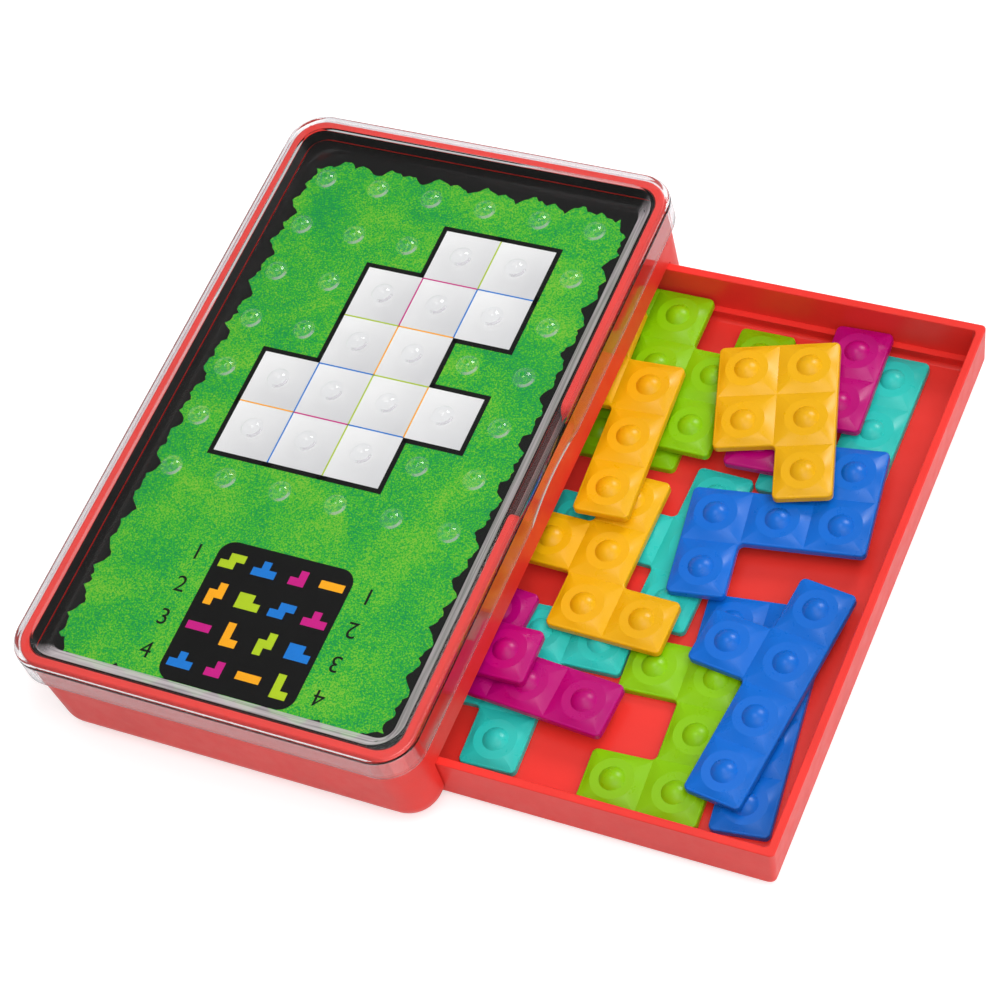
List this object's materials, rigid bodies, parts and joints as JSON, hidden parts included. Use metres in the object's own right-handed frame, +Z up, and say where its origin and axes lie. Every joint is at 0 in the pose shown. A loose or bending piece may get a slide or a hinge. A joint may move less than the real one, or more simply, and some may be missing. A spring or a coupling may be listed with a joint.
{
  "type": "travel puzzle game",
  "caption": "Travel puzzle game: red case with a clear bumped board lid over challenge cards and a side drawer that holds loose coloured polyomino pieces",
  "frame": {"origin": "centre of the case's flat bottom, on the surface that it stands on", "axes": "+X is the way the drawer opens, +Y runs along the case away from the card's index end, +Z is up"},
  "size_m": [0.1855, 0.169, 0.0347],
  "materials": {
    "red_plastic": "satin moulded plastic",
    "dark_plastic": "matt moulded plastic",
    "clear_plastic": "clear polished plastic",
    "card": "printed card with a light sheen",
    "lime_plastic": "glossy moulded plastic",
    "orange_plastic": "glossy moulded plastic",
    "magenta_plastic": "glossy moulded plastic",
    "teal_plastic": "glossy moulded plastic",
    "blue_plastic": "glossy moulded plastic"
  },
  "bodies": {
    "case": {"case_body": "red_plastic", "card_deck": "dark_plastic"},
    "drawer": {"drawer": "red_plastic", "piece_lime_w": "lime_plastic", "piece_orange_f": "orange_plastic", "piece_teal_f": "teal_plastic", "piece_teal_t": "teal_plastic", "piece_lime_q": "lime_plastic", "piece_magenta_l": "magenta_plastic", "piece_lime_g": "lime_plastic", "piece_lime_u": "lime_plastic"},
    "card_stack": {"card_stack": "card"},
    "top_card": {"top_card": "card"},
    "cover": {"clear_cover": "clear_plastic"},
    "blue_l": {"piece_blue_l": "blue_plastic"},
    "blue_y": {"piece_blue_y": "blue_plastic"},
    "teal_j": {"piece_teal_j": "teal_plastic"},
    "blue_z": {"piece_blue_z": "blue_plastic"},
    "magenta_s": {"piece_magenta_s": "magenta_plastic"},
    "orange_p": {"piece_orange_p": "orange_plastic"},
    "orange_n": {"piece_orange_n": "orange_plastic"},
    "magenta_i": {"piece_magenta_i": "magenta_plastic"}
  },
  "joints": [
    {"name": "drawer_slide", "type": "slide", "parent": "case", "child": "drawer", "axis": [1, 0, 0], "range_m": [-0.077, 0]},
    {"name": "card_stack_lift", "type": "slide", "parent": "case", "child": "card_stack", "axis": [0, 0, 1], "range_m": [0, 0.03]},
    {"name": "top_card_lift", "type": "slide", "parent": "card_stack", "child": "top_card", "axis": [0, 0, 1], "range_m": [0, 0.03]},
    {"name": "cover_lift", "type": "slide", "parent": "top_card", "child": "cover", "axis": [0, 0, 1], "range_m": [0, 0.04]},
    {"name": "blue_l_lift", "type": "slide", "parent": "drawer", "child": "blue_l", "axis": [0, 0, 1], "range_m": [0, 0.03]},
    {"name": "blue_y_lift", "type": "slide", "parent": "blue_l", "child": "blue_y", "axis": [0, 0, 1], "range_m": [0, 0.03]},
    {"name": "teal_j_lift", "type": "slide", "parent": "blue_y", "child": "teal_j", "axis": [0, 0, 1], "range_m": [0, 0.03]},
    {"name": "blue_z_lift", "type": "slide", "parent": "teal_j", "child": "blue_z", "axis": [0, 0, 1], "range_m": [0, 0.03]},
    {"name": "magenta_s_lift", "type": "slide", "parent": "blue_z", "child": "magenta_s", "axis": [0, 0, 1], "range_m": [0, 0.03]},
    {"name": "orange_p_lift", "type": "slide", "parent": "magenta_s", "child": "orange_p", "axis": [0, 0, 1], "range_m": [0, 0.03]},
    {"name": "orange_n_slide", "type": "slide", "parent": "drawer", "child": "orange_n", "axis": [0.5, -0.866, 0], "range_m": [0, 0.03]},
    {"name": "magenta_i_slide", "type": "slide", "parent": "drawer", "child": "magenta_i", "axis": [1, 0, 0], "range_m": [0, 0.06]}
  ]
}
